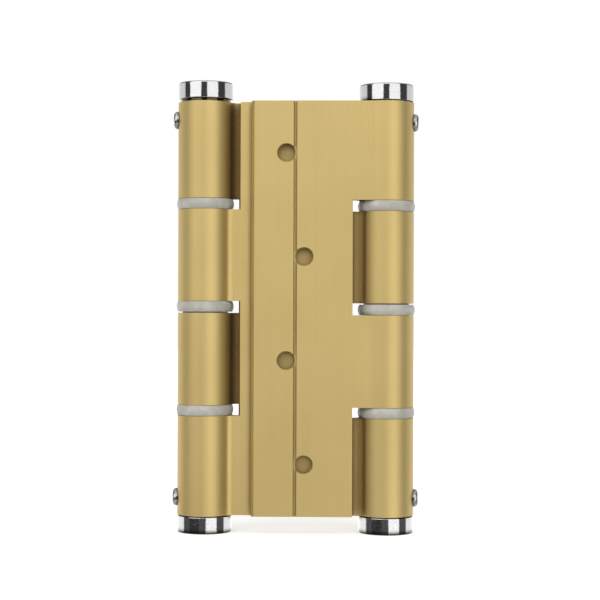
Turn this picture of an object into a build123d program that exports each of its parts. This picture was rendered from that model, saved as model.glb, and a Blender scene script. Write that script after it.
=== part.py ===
from build123d import *

import os
from math import atan, cos, pi, sin

# Double-acting spring hinge: three folded leaves on two sprung barrels. Millimetres.
# X = 0 is midway between the barrels, Y = 0 holds both barrel axes, and the front is -Y.
# Z = 0 is the underside of the two bottom caps, on which the hinge stands.

# Extruded leaves
leaf_length = 165.0
axis_spacing = 72.8
barrel_radius = 11.0
barrel_wall = 1.8
plate_thickness = 4.2
plate_gap = 0.2             # air between two folded plates
plate_set_back = 1.15       # of the front plate, behind the front of the barrels
crease_blend = 3.5          # in the inner corners between a plate and a barrel
free_edge_clearance = 8.0   # from the free edge of an outer leaf to the other barrel
outer_notch_clearance = 2.6     # from a notch in an outer leaf to the knuckle in it
centre_notch_clearance = 3.4    # the same in the centre leaf
edge_bevel = 1.1            # on the free edge of an outer leaf
groove_width = 1.4
groove_wall = 0.2           # the straight part of its sides, above the round bottom

# Knuckles, counted from the top: 1 and 3 are on the outer leaves, 2 and 4 on the centre leaf.
# The two middle knuckles of a barrel share what its end knuckles and gaps leave.
left_top_knuckle = 38.5
left_bottom_knuckle = 39.7
right_top_knuckle = 39.35
right_bottom_knuckle = 38.85
end_gap = 4.4
middle_gap = 4.8

# Fixing holes, in a zigzag down each outer leaf
fixing_hole_radius = 3.55
fixing_hole_edge_break = 0.25
fixing_head_radius = 5.7
fixing_stagger = 3.5
fixing_count = 4

# Nylon washers, each with a spigot up and a spigot down into the knuckles
washer_overhang = 0.45      # beyond the barrel, at the middle of the crowned rim
washer_crown = 0.6
washer_thickness = 4.2
spigot_length = 6.0
spigot_wall = 1.05
face_clearance = 0.1
running_clearance = 0.05

# Caps: a head outside the barrel and a plug inside it
cap_step = 0.1              # in from the surface of the barrel
cap_head_height = 6.8
cap_edge_round = 0.6
cap_inner_round = 0.4
cap_shoulder_step = 1.0     # in from the head, for the shoulder that closes the gap on the knuckle
plug_length = 16.0
plug_edge_break = 0.6
bottom_cap_gap = 0.3
left_top_cap_gap = 1.2
right_top_cap_gap = 0.3
key_across_flats = 8.0
key_depth = 4.5

# Lock screws, through the outer side of each end knuckle into the plug
left_top_screw_inset = 6.8
right_top_screw_inset = 7.8
bottom_screw_inset = 6.7
screw_radius = 1.95
screw_head_radius = 3.5
screw_head_height = 2.2
screw_head_round = 1.5
screw_seat_depth = 0.35     # flat milled into the barrel under the head
screw_bite = 5.15           # past the wall of the barrel, into the plug
screw_hole_clearance = 0.25
recess_length = 3.8
recess_width = 0.9
recess_depth = 1.2

# Torsion springs, with a straight tang at each end in a hole in the plug, and their core rods
wire_radius = 1.5
coil_turns = 29
coil_clearance = 0.6        # around the coil, in the bores of the washers
coil_end_clearance = 0.6
tang_bend_radius = 2.6
tang_length = 4.0
tang_end_clearance = 0.5
rod_clearance = 1.1         # around the core rod, inside the coil
rod_seat_depth = 5.0
rod_end_clearance = 0.3

# Levels and faces that follow from the sizes above
half_spacing = axis_spacing / 2
bore_radius = barrel_radius - barrel_wall
plug_radius = bore_radius - running_clearance
washer_radius = barrel_radius + washer_overhang
washer_bore_radius = plug_radius - spigot_wall
cap_radius = barrel_radius - cap_step
coil_radius = washer_bore_radius - coil_clearance - wire_radius
rod_radius = coil_radius - wire_radius - rod_clearance
screw_length = barrel_wall - screw_seat_depth + screw_bite
leaf_bottom = cap_head_height + bottom_cap_gap
leaf_top = leaf_bottom + leaf_length
plate_step = plate_thickness + plate_gap
door_front = plate_set_back - barrel_radius
centre_front = door_front + plate_step
frame_front = centre_front + plate_step
free_edge = half_spacing - barrel_radius - free_edge_clearance
outer_notch = half_spacing - barrel_radius - outer_notch_clearance
centre_notch = half_spacing - barrel_radius - centre_notch_clearance
beyond = leaf_length        # further than any face, for cuts that run off the leaf
hair = 0.001                # nearer than any two edges are, for finding one by its place
on_base = (Align.CENTER, Align.CENTER, Align.MIN)


def knuckle_levels(top_knuckle, bottom_knuckle):
    """The bottom and top of the four knuckles of a barrel, from the top one down."""
    middle_knuckle = (leaf_length - top_knuckle - bottom_knuckle - 2 * end_gap - middle_gap) / 2
    levels = []
    top = leaf_top
    for length, gap in ((top_knuckle, end_gap), (middle_knuckle, middle_gap), (middle_knuckle, end_gap)):
        levels.append((top - length, top))
        top -= length + gap
    levels.append((leaf_bottom, top))
    return levels


left, right = -1, 1
knuckles = {
    left: knuckle_levels(left_top_knuckle, left_bottom_knuckle),
    right: knuckle_levels(right_top_knuckle, right_bottom_knuckle),
}
names = {left: "left", right: "right"}
top_screw_level = {left: leaf_top - left_top_screw_inset, right: leaf_top - right_top_screw_inset}
bottom_screw_level = leaf_bottom + bottom_screw_inset


def leaf_profile(from_x, to_x, front, barrels):
    """Section of an extrusion: one plate, and a full round for each barrel that it carries."""
    with Locations(((from_x + to_x) / 2, front + plate_thickness / 2)):
        Rectangle(to_x - from_x, plate_thickness)
    with Locations(*[(side * half_spacing, 0) for side in barrels]):
        Circle(barrel_radius)


def blend_creases(leaf):
    """Ease the inner corners, which run up the leaf where a face of the plate meets a barrel."""
    creases = []
    for upright in leaf.edges().filter_by(Axis.Z):
        foot = upright @ 0
        from_axis = Vector(abs(foot.X) - half_spacing, foot.Y).length
        if abs(from_axis - barrel_radius) < hair:
            creases.append(upright)
    fillet(creases, crease_blend)


def cut_notch(side, edge, low, high):
    """Cut away the plate and barrel of one side, from the notch edge outwards, between two levels."""
    with Locations((side * (edge + beyond / 2), 0, (low + high) / 2)):
        Box(beyond, beyond, high - low, mode=Mode.SUBTRACT)


def bore_barrel(side):
    """Bore one barrel from end to end."""
    with Locations((side * half_spacing, 0, leaf_bottom)):
        Cylinder(bore_radius, leaf_length, align=on_base, mode=Mode.SUBTRACT)


def screw_seat(side, level):
    """Plane of the flat under the head of a lock screw, facing out of the barrel."""
    reach = half_spacing + barrel_radius - screw_seat_depth
    return Plane(origin=(side * reach, 0, level), z_dir=(side, 0, 0))


def cut_screw_hole(side, level):
    """Mill the flat for a lock screw and drill its clearance hole through the wall."""
    with Locations(screw_seat(side, level)):
        flat_radius = screw_head_radius + screw_hole_clearance
        Cylinder(flat_radius, screw_head_height, align=on_base, mode=Mode.SUBTRACT)
        Cylinder(screw_radius + screw_hole_clearance, 2 * barrel_wall, mode=Mode.SUBTRACT)


def bevel_free_edge(leaf, x):
    """Bevel the two upright edges of a leaf at the free edge of its plate."""
    chamfer(leaf.edges().filter_by(Axis.Z).filter_by_position(Axis.X, x - hair, x + hair), edge_bevel)


def drill_fixing_holes(inner_face, outward):
    """Screw holes in a zigzag, countersunk in the face that is hidden when the hinge is folded."""
    pitch = leaf_length / fixing_count
    for row in range(fixing_count):
        level = leaf_bottom + (row + 0.5) * pitch
        x = fixing_stagger if row % 2 == 0 else -fixing_stagger
        sink = Plane(origin=(x, inner_face, level), z_dir=(0, -outward, 0))
        with Locations(sink):
            CounterSinkHole(fixing_hole_radius, fixing_head_radius, depth=plate_thickness)
        mouth = Plane(origin=(x, inner_face + outward * plate_thickness, level), z_dir=(0, -outward, 0))
        with Locations(mouth):
            mouth_radius = fixing_hole_radius + fixing_hole_edge_break
            Cone(mouth_radius, fixing_hole_radius, fixing_hole_edge_break, align=on_base, mode=Mode.SUBTRACT)


def cut_groove(outer_face, inward):
    """A narrow round-bottomed groove down the middle of the outer face, a guide for the drill."""
    with Locations((0, outer_face, leaf_bottom)):
        Box(groove_width, 2 * groove_wall, leaf_length, align=on_base, mode=Mode.SUBTRACT)
    with Locations((0, outer_face + inward * groove_wall, leaf_bottom)):
        Cylinder(groove_width / 2, leaf_length, align=on_base, mode=Mode.SUBTRACT)


# Door leaf: the front plate, with knuckles 1 and 3 of the right barrel
with BuildPart() as door_leaf:
    with BuildSketch(Plane.XY.offset(leaf_bottom)):
        leaf_profile(-free_edge, half_spacing, door_front, [right])
    extrude(amount=leaf_length)
    blend_creases(door_leaf)
    bevel_free_edge(door_leaf, -free_edge)
    bore_barrel(right)
    cut_notch(right, outer_notch, knuckles[right][2][1], knuckles[right][0][0])
    cut_notch(right, outer_notch, leaf_bottom - beyond, knuckles[right][2][0])
    drill_fixing_holes(door_front + plate_thickness, -1)
    cut_groove(door_front, 1)
    cut_screw_hole(right, top_screw_level[right])
door_leaf.part.label = "door_leaf"

# Centre leaf: the middle plate, with knuckles 2 and 4 of both barrels
with BuildPart() as centre_leaf:
    with BuildSketch(Plane.XY.offset(leaf_bottom)):
        leaf_profile(-half_spacing, half_spacing, centre_front, [left, right])
    extrude(amount=leaf_length)
    blend_creases(centre_leaf)
    for side in (left, right):
        bore_barrel(side)
        cut_notch(side, centre_notch, knuckles[side][1][1], leaf_top + beyond)
        cut_notch(side, centre_notch, knuckles[side][3][1], knuckles[side][1][0])
    for side in (left, right):
        cut_screw_hole(side, bottom_screw_level)
centre_leaf.part.label = "centre_leaf"

# Frame leaf: the rear plate, with knuckles 1 and 3 of the left barrel
with BuildPart() as frame_leaf:
    with BuildSketch(Plane.XY.offset(leaf_bottom)):
        leaf_profile(-half_spacing, free_edge, frame_front, [left])
    extrude(amount=leaf_length)
    blend_creases(frame_leaf)
    bevel_free_edge(frame_leaf, free_edge)
    bore_barrel(left)
    cut_notch(left, outer_notch, knuckles[left][2][1], knuckles[left][0][0])
    cut_notch(left, outer_notch, leaf_bottom - beyond, knuckles[left][2][0])
    drill_fixing_holes(frame_front, 1)
    cut_groove(frame_front + plate_thickness, -1)
    cut_screw_hole(left, top_screw_level[left])
frame_leaf.part.label = "frame_leaf"

parts = [door_leaf.part, centre_leaf.part, frame_leaf.part]

# Washers: a crowned nylon rim between two knuckles, on a sleeve that reaches into both.
# The middle one rides high on the left and sits low on the right.
middle_slack = middle_gap - end_gap
for side in (left, right):
    for number in (1, 2, 3):
        seat = knuckles[side][number][1] + face_clearance
        if number == 2 and side == left:
            seat += middle_slack
        axis_foot = (side * half_spacing, 0, seat)
        with BuildPart() as washer:
            with BuildSketch(Plane(origin=axis_foot, x_dir=(1, 0, 0), z_dir=(0, -1, 0))):
                with BuildLine():
                    rim_low = (washer_radius - washer_crown, 0)
                    rim_middle = (washer_radius, washer_thickness / 2)
                    rim_high = (washer_radius - washer_crown, washer_thickness)
                    ThreePointArc(rim_low, rim_middle, rim_high)
                    sleeve_high = washer_thickness + spigot_length
                    Polyline(
                        rim_high,
                        (plug_radius, washer_thickness),
                        (plug_radius, sleeve_high),
                        (washer_bore_radius, sleeve_high),
                        (washer_bore_radius, -spigot_length),
                        (plug_radius, -spigot_length),
                        (plug_radius, 0),
                        rim_low,
                    )
                make_face()
            revolve(axis=Axis(axis_foot, (0, 0, 1)))
        washer.part.label = f"{names[side]}_washer_{number}"
        parts.append(washer.part)

# Spring geometry: the tangs leave the coil on a quarter bend and lie at tang_place in the plugs
coil_bottom = leaf_bottom + plug_length + coil_end_clearance + wire_radius
coil_top = leaf_top - plug_length - coil_end_clearance - wire_radius
coil_height = coil_top - coil_bottom
coil_pitch = coil_height / coil_turns
coil_lead = atan(coil_pitch / (2 * pi * coil_radius))
bend_back = tang_bend_radius * (1 - sin(coil_lead))
bend_rise = tang_bend_radius * cos(coil_lead)
rod_bottom = leaf_bottom + plug_length - rod_seat_depth
rod_top = leaf_top - plug_length + rod_seat_depth


def tang_place(side, upward):
    """Where a tang stands in plan: just before the start, or just past the end, of the coil."""
    return side * half_spacing + coil_radius, bend_back if upward else -bend_back


# The plug has a hole for the lock screw on each of its four sides, so the spring can be reset
screw_hole_floor = barrel_radius - screw_seat_depth - screw_length - screw_hole_clearance
quarter_turns = [(1, 0, 0), (0, 1, 0), (-1, 0, 0), (0, -1, 0)]


def make_cap(side, upward, head_base, screw_level):
    """A turned cap: the head outside the barrel, and the plug that grips spring and core rod."""
    out = 1 if upward else -1
    leaf_end = leaf_top if upward else leaf_bottom
    plug_end = leaf_end - out * plug_length
    head = Plane(origin=(side * half_spacing, 0, head_base), x_dir=(1, 0, 0), z_dir=(0, 0, out))
    end = Plane(origin=(side * half_spacing, 0, plug_end), x_dir=(1, 0, 0), z_dir=(0, 0, out))
    tang_x, tang_y = tang_place(side, upward)
    with BuildPart() as cap:
        with BuildSketch(head):
            Circle(cap_radius)
        extrude(amount=cap_head_height)
        fillet(cap.faces().sort_by(Axis.Z)[-1 if upward else 0].edges(), cap_edge_round)
        fillet(cap.faces().sort_by(Axis.Z)[0 if upward else -1].edges(), cap_inner_round)
        with BuildSketch(head):
            Circle(cap_radius - cap_shoulder_step)
        extrude(amount=face_clearance - abs(head_base - leaf_end))
        with BuildSketch(end):
            Circle(plug_radius)
        extrude(amount=abs(head_base - plug_end))
        chamfer(cap.faces().sort_by(Axis.Z)[0 if upward else -1].edges(), plug_edge_break)
        with BuildSketch(head.offset(cap_head_height)):
            RegularPolygon(key_across_flats / 2, 6, major_radius=False)
        extrude(amount=-key_depth, mode=Mode.SUBTRACT)
        with BuildSketch(end):
            Circle(rod_radius + running_clearance)
        extrude(amount=rod_seat_depth + rod_end_clearance, mode=Mode.SUBTRACT)
        with BuildSketch(Plane.XY.offset(plug_end)):
            with Locations((tang_x, tang_y)):
                Circle(wire_radius + running_clearance)
        extrude(amount=out * (tang_length + tang_end_clearance), mode=Mode.SUBTRACT)
        centre = (side * half_spacing, 0, screw_level)
        turns = [Plane(origin=centre, z_dir=out_dir).offset(screw_hole_floor) for out_dir in quarter_turns]
        with Locations(*turns):
            Cylinder(screw_radius + running_clearance, barrel_radius, align=on_base, mode=Mode.SUBTRACT)
    return cap.part


# Caps: the top ones ride on the outer leaves, the bottom ones on the centre leaf
top_cap_gap = {left: left_top_cap_gap, right: right_top_cap_gap}
for side in (left, right):
    top_cap = make_cap(side, True, leaf_top + top_cap_gap[side], top_screw_level[side])
    top_cap.label = f"{names[side]}_top_cap"
    bottom_cap = make_cap(side, False, cap_head_height, bottom_screw_level)
    bottom_cap.label = f"{names[side]}_bottom_cap"
    parts += [top_cap, bottom_cap]

# Lock screws: pan heads with a cross recess
for side in (left, right):
    for end, level in (("top", top_screw_level[side]), ("bottom", bottom_screw_level)):
        seat_plane = screw_seat(side, level)
        with BuildPart() as lock_screw:
            with BuildSketch(seat_plane):
                Circle(screw_head_radius)
            extrude(amount=screw_head_height)
            fillet(lock_screw.faces().sort_by(Axis.X)[-1 if side == right else 0].edges(), screw_head_round)
            with BuildSketch(seat_plane):
                Circle(screw_radius)
            extrude(amount=-screw_length)
            with BuildSketch(seat_plane.offset(screw_head_height)):
                Rectangle(recess_length, recess_width)
                Rectangle(recess_width, recess_length)
            extrude(amount=-recess_depth, mode=Mode.SUBTRACT)
        lock_screw.part.label = f"{names[side]}_{end}_lock_screw"
        parts.append(lock_screw.part)

# Springs and core rods, inside the barrels between the plugs. Both springs are wound right-handed,
# so each is wound tighter as its leaf opens.
for side in (left, right):
    axis_x = side * half_spacing
    foot = Vector(*tang_place(side, False), coil_bottom - bend_rise)
    foot_end = Vector(foot.X, foot.Y, leaf_bottom + plug_length - tang_length)
    crown = Vector(*tang_place(side, True), coil_top + bend_rise)
    crown_end = Vector(crown.X, crown.Y, leaf_top - plug_length + tang_length)
    with BuildPart() as spring:
        with BuildLine():
            coil = Helix(coil_pitch, coil_height, coil_radius, center=(axis_x, 0, coil_bottom))
            TangentArc(foot, coil @ 0, tangent=(0, 0, 1))
            Line(foot_end, foot)
            TangentArc(crown, coil @ 1, tangent=(0, 0, -1))
            Line(crown, crown_end)
        with BuildSketch(Plane(foot_end)):
            Circle(wire_radius)
        sweep()
    spring.part.label = f"{names[side]}_spring"
    with BuildPart() as core_rod:
        with BuildSketch(Plane.XY.offset(rod_bottom)):
            with Locations((side * half_spacing, 0)):
                Circle(rod_radius)
        extrude(amount=rod_top - rod_bottom)
        chamfer(core_rod.edges().filter_by(GeomType.CIRCLE), rod_end_clearance)
    core_rod.part.label = f"{names[side]}_core_rod"
    parts += [spring.part, core_rod.part]

os.makedirs("parts", exist_ok=True)
for piece in parts:
    export_step(piece, f"parts/{piece.label}.step")
    print(piece.label, round(piece.volume, 1), len(piece.solids()), piece.is_valid)
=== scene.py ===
from math import cos, radians, sin

import bpy
from mathutils import Matrix, Vector

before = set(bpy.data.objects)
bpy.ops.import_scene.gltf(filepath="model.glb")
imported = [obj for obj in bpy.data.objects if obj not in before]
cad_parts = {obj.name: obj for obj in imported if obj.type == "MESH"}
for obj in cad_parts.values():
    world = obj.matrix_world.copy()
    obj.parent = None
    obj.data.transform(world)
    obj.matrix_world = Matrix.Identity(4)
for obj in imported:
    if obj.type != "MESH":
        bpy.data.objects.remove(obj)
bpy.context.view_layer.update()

# Leaves
# Three lengths of extruded aluminium, sawn off, notched for each other's knuckles, etched to a
# satin and anodised pale gold. The die leaves faint lines along the length and the etch a fine
# grain. Shade is painted deep brown into the gold in the slots, the groove and the creases.

DIE_LINE_WIDTH = 0.00045
DIE_LINE_STRETCH = 0.004
ETCH_GRAIN_SIZE = 0.0004
DYE_PATCH_SIZE = 0.03
GOLD = (0.665, 0.514, 0.214, 1)
GOLD_DEEP = (0.600, 0.452, 0.178, 1)
# The near-black brown of the shade painted into slots, the groove and creases
GOLD_PAINTED_SHADE = (0.135, 0.066, 0.014, 1)
GOLD_SPAN = (0.3, 0.7)
PATCH_SHARE = 0.40
LINE_SHARE = 0.35
ETCH_SHARE = 0.25
GOLD_ROUGHNESS = 0.51
GOLD_ROUGHNESS_SPREAD = 0.04
GOLD_RELIEF = 0.12
GOLD_RELIEF_DEPTH = 0.00004
LINE_RELIEF_SHARE = 0.7
GLAZE = {"Coat Weight": 0.2, "Coat Roughness": 0.55, "Coat IOR": 1.6}
# How far and how strongly shade is painted into the slots, and into the groove and creases
SLOT_SHADE_REACH = 0.006
SLOT_SHADE_SPAN = (0.36, 0.74)
CREASE_SHADE_REACH = 0.0010
CREASE_SHADE_SPAN = (0.62, 0.92)
# Painted shade is darker in the right slots, where the door leaf's barrel shuts, between these distances
# from the middle
RIGHT_SLOTS = (0.0222, 0.0257)
RIGHT_SLOTS_DARKER_SHADE = -0.19
# Painted shade is paler in the screw holes than in the slots; the holes end between these distances from
# the middle
HOLES_END = (0.015, 0.018)
HOLES_LESS_SHADE = 0.6


class Field:
    """A value that varies over a surface. Sums and products of fields are written as arithmetic."""

    def __init__(self, tree, socket=None):
        self.tree = tree
        self.socket = socket

    def add(self, kind, settings=None, inputs=None, output=0):
        """Add a node of a kind, with its settings and the values or fields of its sockets."""
        node = self.tree.nodes.new(kind)
        for name, value in (settings or {}).items():
            setattr(node, name, value)
        for name, value in (inputs or {}).items():
            if isinstance(value, Field):
                self.tree.links.new(value.socket, node.inputs[name])
            else:
                node.inputs[name].default_value = value
        return Field(self.tree, node.outputs[output])

    def maths(self, operation, first, second=0.0):
        return self.add("ShaderNodeMath", {"operation": operation}, {0: first, 1: second})

    def ramp(self, low, high, to_low=0.0, to_high=1.0):
        """This field run from low to high, as a smooth step between two levels."""
        sockets = {"Value": self, "From Min": low, "From Max": high, "To Min": to_low, "To Max": to_high}
        return self.add("ShaderNodeMapRange", {"interpolation_type": "SMOOTHSTEP"}, sockets)

    def __add__(self, other):
        return self.maths("ADD", self, other)

    def __rsub__(self, other):
        return self.maths("SUBTRACT", other, self)

    def __mul__(self, other):
        return self.maths("MULTIPLY", self, other)

    def __neg__(self):
        return self.maths("MULTIPLY", self, -1.0)

    __radd__ = __add__
    __rmul__ = __mul__


def new_finish(name, constants):
    """A material with a Principled shader, the constants set on it, and a field to start from."""
    material = bpy.data.materials.new(name)
    material.use_nodes = True
    tree = material.node_tree
    shader = tree.nodes["Principled BSDF"]
    for socket, value in constants.items():
        shader.inputs[socket].default_value = value
    return material, Field(tree), shader


def place_on(start, stretch=(1.0, 1.0, 1.0)):
    """Position on the piece, squeezed or stretched along its own axes."""
    here = start.add("ShaderNodeTexCoord", output="Object")
    return start.add("ShaderNodeVectorMath", {"operation": "MULTIPLY"}, {0: here, 1: stretch})


def grain(start, where, size, detail=2.0, roughness=0.5):
    """Noise from 0 to 1 with blots of about a given size, in metres."""
    sockets = {"Vector": where, "Scale": 1 / size, "Detail": detail, "Roughness": roughness}
    return start.add("ShaderNodeTexNoise", {"noise_dimensions": "3D"}, sockets, "Fac")


def openness(start, reach):
    """1 on an open face, less in slots, corners and holes, out to a distance in metres; it masks painted
    shade.
    """
    return start.add("ShaderNodeAmbientOcclusion", {"samples": 8}, {"Distance": reach}, "AO")


def blend_colours(start, mask, first, second):
    """From the first colour to the second one as the mask goes from 0 to 1."""
    return start.add("ShaderNodeMix", {"data_type": "RGBA"}, {"Factor": mask, 6: first, 7: second}, 2)


def relief(start, height, strength, depth):
    """Fine roughness of a surface, with a depth in metres, for the shader's normal."""
    return start.add("ShaderNodeBump", None, {"Strength": strength, "Distance": depth, "Height": height})


def feed(node, fields):
    """Link fields to the sockets of a shader or another end node."""
    for socket, field in fields.items():
        field.tree.links.new(field.socket, node.inputs[socket])


def finish_nodes(material, names):
    """Give CAD nodes their finish."""
    for name in names:
        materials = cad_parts[name].data.materials
        materials.clear()
        materials.append(material)


def satin_gold():
    material, start, shader = new_finish("satin_gold_anodising", {"Metallic": 1.0, **GLAZE})
    anywhere = place_on(start)
    lines = grain(start, place_on(start, (1.0, 1.0, DIE_LINE_STRETCH)), DIE_LINE_WIDTH, detail=3.0)
    etch = grain(start, anywhere, ETCH_GRAIN_SIZE, detail=1.0)
    patches = grain(start, anywhere, DYE_PATCH_SIZE)
    tint = patches.ramp(*GOLD_SPAN) * PATCH_SHARE + lines.ramp(*GOLD_SPAN) * LINE_SHARE
    tint = tint + etch.ramp(*GOLD_SPAN) * ETCH_SHARE
    # Shade is painted into the colour: dark in the slots, darker in the right ones, lighter near the
    # screw holes
    from_middle = start.add("ShaderNodeSeparateXYZ", None, {"Vector": anywhere}, "X")
    near_holes = start.maths("ABSOLUTE", from_middle).ramp(*HOLES_END, HOLES_LESS_SHADE, 0.0)
    darker_shade_right = from_middle.ramp(*RIGHT_SLOTS, 0.0, RIGHT_SLOTS_DARKER_SHADE)
    slots = (openness(start, SLOT_SHADE_REACH) + darker_shade_right).ramp(*SLOT_SHADE_SPAN)
    painted_shade_in_slots = (1 - slots) * (1 - near_holes)
    # Painted shade in the narrow groove, along the free edges and in the creases
    painted_shade_in_creases = 1 - openness(start, CREASE_SHADE_REACH).ramp(*CREASE_SHADE_SPAN)
    painted_shade_mask = start.maths("MAXIMUM", painted_shade_in_slots, painted_shade_in_creases)
    open_gold = blend_colours(start, tint, GOLD_DEEP, GOLD)
    bumps = lines * LINE_RELIEF_SHARE + etch * (1 - LINE_RELIEF_SHARE)
    feed(shader, {
        "Base Color": blend_colours(start, painted_shade_mask, open_gold, GOLD_PAINTED_SHADE),
        "Roughness": GOLD_ROUGHNESS + lines * GOLD_ROUGHNESS_SPREAD + etch * GOLD_ROUGHNESS_SPREAD,
        "Normal": relief(start, bumps, GOLD_RELIEF, GOLD_RELIEF_DEPTH),
    })
    return material


finish_nodes(satin_gold(), ["door_leaf", "centre_leaf", "frame_leaf"])

# Washers
# Rings of milky nylon, moulded with a sleeve that keeps each pair of knuckles in line. They are
# a little wider than the knuckles, slightly waxy, and let some light in at the rim.

NYLON = (0.410, 0.398, 0.339, 1)
NYLON_PALE = (0.490, 0.480, 0.434, 1)
NYLON_WAX = {"Subsurface Weight": 0.25, "Subsurface Scale": 0.002, "Subsurface Radius": (1.0, 0.9, 0.7)}
CLOUD_SIZE = 0.004
CLOUD_SPAN = (0.35, 0.7)
SKIN_GRAIN_SIZE = 0.0004
NYLON_ROUGHNESS = 0.34
NYLON_ROUGHNESS_SPREAD = 0.12
NYLON_RELIEF = 0.1
NYLON_RELIEF_DEPTH = 0.00005
SIDES = ("left", "right")


def milky_nylon():
    material, start, shader = new_finish("milky_nylon", NYLON_WAX)
    anywhere = place_on(start)
    cloud = grain(start, anywhere, CLOUD_SIZE)
    skin = grain(start, anywhere, SKIN_GRAIN_SIZE)
    feed(shader, {
        "Base Color": blend_colours(start, cloud.ramp(*CLOUD_SPAN), NYLON, NYLON_PALE),
        "Roughness": NYLON_ROUGHNESS + skin * NYLON_ROUGHNESS_SPREAD,
        "Normal": relief(start, skin, NYLON_RELIEF, NYLON_RELIEF_DEPTH),
    })
    return material


finish_nodes(milky_nylon(), [f"{side}_washer_{number}" for side in SIDES for number in (1, 2, 3)])

# Caps
# Turned steel plugs, nickelled and chromed bright. The tool leaves a faint ripple round the head,
# which breaks up the edges of what it mirrors. Dark shade is painted into the step under the head.

CHROME = (0.52, 0.52, 0.52, 1)
CHROME_SHADE = (0.46, 0.46, 0.457, 1)
# Near-black painted shade for the step under the head
CHROME_PAINTED_SHADE_UNDER_HEAD = (0.06, 0.04, 0.02, 1)
RIPPLE_SIZE = 0.0022
RIPPLE_STRETCH = 0.25
PIT_SIZE = 0.0005
PIT_SPAN = (0.4, 0.65)
CHROME_ROUGHNESS = 0.03
CHROME_ROUGHNESS_SPREAD = 0.05
CHROME_RELIEF = 0.45
CHROME_RELIEF_DEPTH = 0.00008
RIPPLE_RELIEF_SHARE = 0.6
UNDER_HEAD_SHADE_REACH = 0.0025
UNDER_HEAD_SHADE_SPAN = (0.65, 0.97)
ENDS = ("top", "bottom")


def bright_chrome():
    material, start, shader = new_finish("bright_chrome", {"Metallic": 1.0})
    along = place_on(start, (1.0, 1.0, RIPPLE_STRETCH))
    ripple = grain(start, along, RIPPLE_SIZE, detail=3.0, roughness=0.6)
    pits = grain(start, place_on(start), PIT_SIZE)
    mirror = blend_colours(start, pits.ramp(*PIT_SPAN), CHROME_SHADE, CHROME)
    # Shade painted into the colour under the head, where the step is shut in
    painted_shade_under_head = 1 - openness(start, UNDER_HEAD_SHADE_REACH).ramp(*UNDER_HEAD_SHADE_SPAN)
    bumps = ripple * RIPPLE_RELIEF_SHARE + pits * (1 - RIPPLE_RELIEF_SHARE)
    feed(shader, {
        "Base Color": blend_colours(start, painted_shade_under_head, mirror, CHROME_PAINTED_SHADE_UNDER_HEAD),
        "Roughness": CHROME_ROUGHNESS + pits * CHROME_ROUGHNESS_SPREAD,
        "Normal": relief(start, bumps, CHROME_RELIEF, CHROME_RELIEF_DEPTH),
    })
    return material


finish_nodes(bright_chrome(), [f"{side}_{end}_cap" for side in SIDES for end in ENDS])

# Lock screws
# Small cross-recess machine screws with pan heads, cold-formed and zinc plated. Each goes through
# the wall of an end knuckle into its cap, and holds the tension of the spring.

ZINC = (0.55, 0.55, 0.53, 1)
ZINC_DULL = (0.34, 0.34, 0.32, 1)
# Near-black painted shade where the screw heads meet the barrel
ZINC_PAINTED_SHADE_AT_BARREL = (0.035, 0.030, 0.016, 1)
BLOT_SIZE = 0.0012
BLOT_SPAN = (0.3, 0.7)
SPECK_SIZE = 0.0002
ZINC_ROUGHNESS = 0.16
ZINC_ROUGHNESS_SPREAD = 0.08
ZINC_RELIEF = 0.15
ZINC_RELIEF_DEPTH = 0.00004
BARREL_SHADE_REACH = 0.003
BARREL_SHADE_SPAN = (0.50, 0.95)


def zinc_plate():
    material, start, shader = new_finish("zinc_plate", {"Metallic": 1.0})
    anywhere = place_on(start)
    blots = grain(start, anywhere, BLOT_SIZE)
    specks = grain(start, anywhere, SPECK_SIZE)
    plated = blend_colours(start, blots.ramp(*BLOT_SPAN), ZINC_DULL, ZINC)
    # Shade painted into the colour of the screw next to the barrel
    painted_shade_at_barrel = 1 - openness(start, BARREL_SHADE_REACH).ramp(*BARREL_SHADE_SPAN)
    feed(shader, {
        "Base Color": blend_colours(start, painted_shade_at_barrel, plated, ZINC_PAINTED_SHADE_AT_BARREL),
        "Roughness": ZINC_ROUGHNESS + blots * ZINC_ROUGHNESS_SPREAD,
        "Normal": relief(start, specks, ZINC_RELIEF, ZINC_RELIEF_DEPTH),
    })
    return material


finish_nodes(zinc_plate(), [f"{side}_{end}_lock_screw" for side in SIDES for end in ENDS])

# Springs and core rods
# Oil-hardened spring wire, wound close, and a drawn steel rod that keeps each coil straight. Both
# are shut in the barrels, and show only where a cap or washer is taken out.

WIRE = (0.16, 0.155, 0.15, 1)
WIRE_WORN = (0.27, 0.26, 0.25, 1)
DRAW_MARK_SIZE = 0.0006
DRAW_MARK_STRETCH = 0.3
DRAW_MARK_SPAN = (0.35, 0.7)
WIRE_ROUGHNESS = 0.3
WIRE_ROUGHNESS_SPREAD = 0.15
WIRE_RELIEF = 0.2
WIRE_RELIEF_DEPTH = 0.00005


def oiled_steel():
    material, start, shader = new_finish("oiled_spring_steel", {"Metallic": 1.0})
    drawn = grain(start, place_on(start, (1.0, 1.0, DRAW_MARK_STRETCH)), DRAW_MARK_SIZE, detail=3.0)
    feed(shader, {
        "Base Color": blend_colours(start, drawn.ramp(*DRAW_MARK_SPAN), WIRE, WIRE_WORN),
        "Roughness": WIRE_ROUGHNESS + drawn * WIRE_ROUGHNESS_SPREAD,
        "Normal": relief(start, drawn, WIRE_RELIEF, WIRE_RELIEF_DEPTH),
    })
    return material


finish_nodes(oiled_steel(), [f"{side}_{inner}" for side in SIDES for inner in ("spring", "core_rod")])

# Floor
# A plain matt sweep under the hinge, which takes a soft shadow. It shines a little, for the camera
# alone, so that it looks as white as the background behind it. It isn't a part of the hinge.

FLOOR_HALF = 3.0
FLOOR_COLOUR = (0.86, 0.86, 0.86, 1)
FLOOR_LIFT = 0.46
WHITE = (1, 1, 1, 1)

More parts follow.
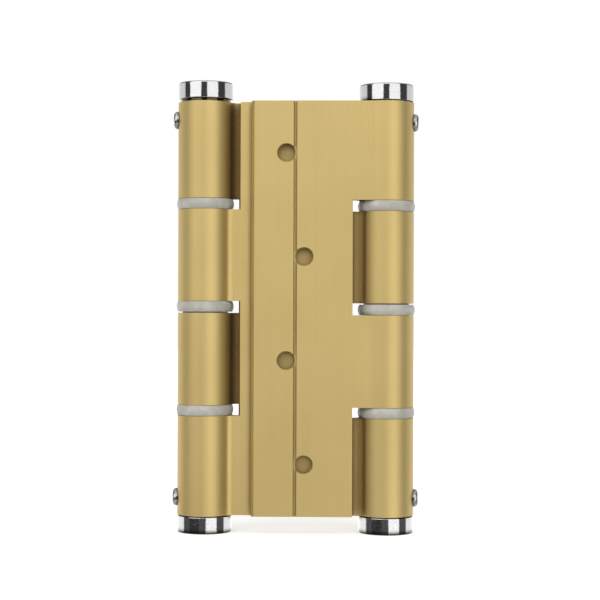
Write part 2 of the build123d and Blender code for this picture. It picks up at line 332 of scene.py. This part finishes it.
floor_mesh = bpy.data.meshes.new("floor")
corners = [(x * FLOOR_HALF, y * FLOOR_HALF, 0) for x, y in ((-1, -1), (1, -1), (1, 1), (-1, 1))]
floor_mesh.from_pydata(corners, [], [(0, 1, 2, 3)])
floor = bpy.data.objects.new("floor", floor_mesh)
bpy.context.scene.collection.objects.link(floor)
floor.visible_glossy = False

floor_material = bpy.data.materials.new("white_sweep")
floor_material.use_nodes = True
floor_nodes = floor_material.node_tree.nodes
floor_nodes.clear()
floor_start = Field(floor_material.node_tree)
seen = floor_start.add("ShaderNodeLightPath", output="Is Camera Ray")
matt = floor_start.add("ShaderNodeBsdfDiffuse", None, {"Color": FLOOR_COLOUR})
glow = floor_start.add("ShaderNodeEmission", None, {"Color": WHITE, "Strength": FLOOR_LIFT})
lifted = floor_start.add("ShaderNodeAddShader", None, {0: matt, 1: glow})
sweep = floor_start.add("ShaderNodeMixShader", None, {0: seen, 1: matt, 2: lifted})
feed(floor_nodes.new("ShaderNodeOutputMaterial"), {"Surface": sweep})
floor_mesh.materials.append(floor_material)

# Studio
# A white tent with a long soft light each side of the camera and one above it, dark gaps beside and
# between them, and the pale sweep all round behind. The chromed caps mirror it as upright bands.
# Bearings are in degrees from the front, to the right, and heights in degrees above the level.

LEFT_LIGHT = (-66.0, -16.0)
LEFT_LEVEL = 1.80
LEFT_FOOT = (-5.15, -4.85)
RIGHT_LIGHT = (10.0, 57.0)
RIGHT_FOOT = (-32.0, -28.0)
RIGHT_TRIM_BAND = (14.0, 22.0)
RIGHT_TRIM = 0.85
MIDDLE_LIGHT = (-15.0, 9.0)
MIDDLE_FOOT = (10.0, 14.0)
LIGHT_LEVEL = 1.71
LEFT_STAND = (-63.0, -18.0)
LEFT_STAND_TOP = (-5.5, -5.0)
LEFT_STAND_LEVEL = 0.4
MIDDLE_BAND = (-4.0, 4.0)
GAP_LEVELS = (0.14, 0.085)
BEHIND = (90.5, 97.5)
BEHIND_LEVELS = (1.46, 1.10)
BEHIND_BAND = (10.0, 18.0)
BEHIND_BEYOND = 0.25
ABOVE = (42.0, 60.0)
ABOVE_LEVEL = 1.0
BELOW = (-40.0, -25.0)
BELOW_LEVEL = 0.75
HALF_EDGE = 1.75
DEGREES = 57.29578

world = bpy.data.worlds.new("studio")
bpy.context.scene.world = world
world.use_nodes = True
air = Field(world.node_tree)
heading = air.add("ShaderNodeTexCoord", output="Generated")
toward_x, toward_y, toward_z = (
    air.add("ShaderNodeSeparateXYZ", None, {"Vector": heading}, axis) for axis in ("X", "Y", "Z"))
bearing = air.maths("ARCTAN2", toward_x, -toward_y) * DEGREES
height = air.maths("ARCSINE", toward_z) * DEGREES


def between(low, high):
    """1 between two bearings, with soft edges."""
    from_low = bearing.ramp(low - HALF_EDGE, low + HALF_EDGE)
    return from_low * bearing.ramp(high - HALF_EDGE, high + HALF_EDGE, 1.0, 0.0)


left_light = between(*LEFT_LIGHT) * height.ramp(*LEFT_FOOT) * LEFT_LEVEL
right_light = between(*RIGHT_LIGHT) * height.ramp(*RIGHT_FOOT)
right_light = right_light * height.ramp(*RIGHT_TRIM_BAND, 1.0, RIGHT_TRIM)
middle_light = between(*MIDDLE_LIGHT) * height.ramp(*MIDDLE_FOOT)
lights = left_light + (right_light + middle_light) * LIGHT_LEVEL
left_stand = between(*LEFT_STAND) * height.ramp(*LEFT_STAND_TOP, 1.0, 0.0)
gaps = height.ramp(*MIDDLE_BAND, *GAP_LEVELS) * (1 - left_stand * (1 - LEFT_STAND_LEVEL))
behind = air.maths("ABSOLUTE", bearing).ramp(*BEHIND) * height.ramp(*MIDDLE_BAND, *BEHIND_LEVELS)
behind = behind * air.maths("ABSOLUTE", height).ramp(*BEHIND_BAND, 1.0, BEHIND_BEYOND)
above = height.ramp(*ABOVE)
below = height.ramp(*BELOW, 1.0, 0.0)
tent = (lights + gaps + behind) * (1 - above) * (1 - below) + above * ABOVE_LEVEL + below * BELOW_LEVEL
by_camera = air.add("ShaderNodeLightPath", output="Is Camera Ray")
background = world.node_tree.nodes["Background"]
background.inputs["Color"].default_value = WHITE
feed(background, {"Strength": tent * (1 - by_camera) + by_camera})
bpy.context.scene.view_settings.view_transform = "Standard"

# Camera
# Level with the middle of the hinge and almost square on to it, a little over half a metre away,
# with the small tilt that the photograph has.

CAMERA_BEARING = radians(1.31)
CAMERA_HEIGHT_ANGLE = radians(-0.38)
CAMERA_TILT = radians(0.177)
CAMERA_DISTANCE = 0.637
CAMERA_LENS = 95.0
CAMERA_NEAR = 0.01
AIM = Vector((0.00175, 0.0, 0.09306))

out = Vector((
    sin(CAMERA_BEARING) * cos(CAMERA_HEIGHT_ANGLE),
    -cos(CAMERA_BEARING) * cos(CAMERA_HEIGHT_ANGLE),
    sin(CAMERA_HEIGHT_ANGLE),
))
across = Vector((0, 0, 1)).cross(out).normalized()
up = out.cross(across)
tilted_across = cos(CAMERA_TILT) * across + sin(CAMERA_TILT) * up
tilted_up = cos(CAMERA_TILT) * up - sin(CAMERA_TILT) * across
stand = AIM + CAMERA_DISTANCE * out
camera_data = bpy.data.cameras.new("camera")
camera_data.lens = CAMERA_LENS
camera_data.clip_start = CAMERA_NEAR
camera = bpy.data.objects.new("camera", camera_data)
camera.matrix_world = Matrix((
    (tilted_across.x, tilted_up.x, out.x, stand.x),
    (tilted_across.y, tilted_up.y, out.y, stand.y),
    (tilted_across.z, tilted_up.z, out.z, stand.z),
    (0, 0, 0, 1),
))
bpy.context.scene.collection.objects.link(camera)
bpy.context.scene.camera = camera
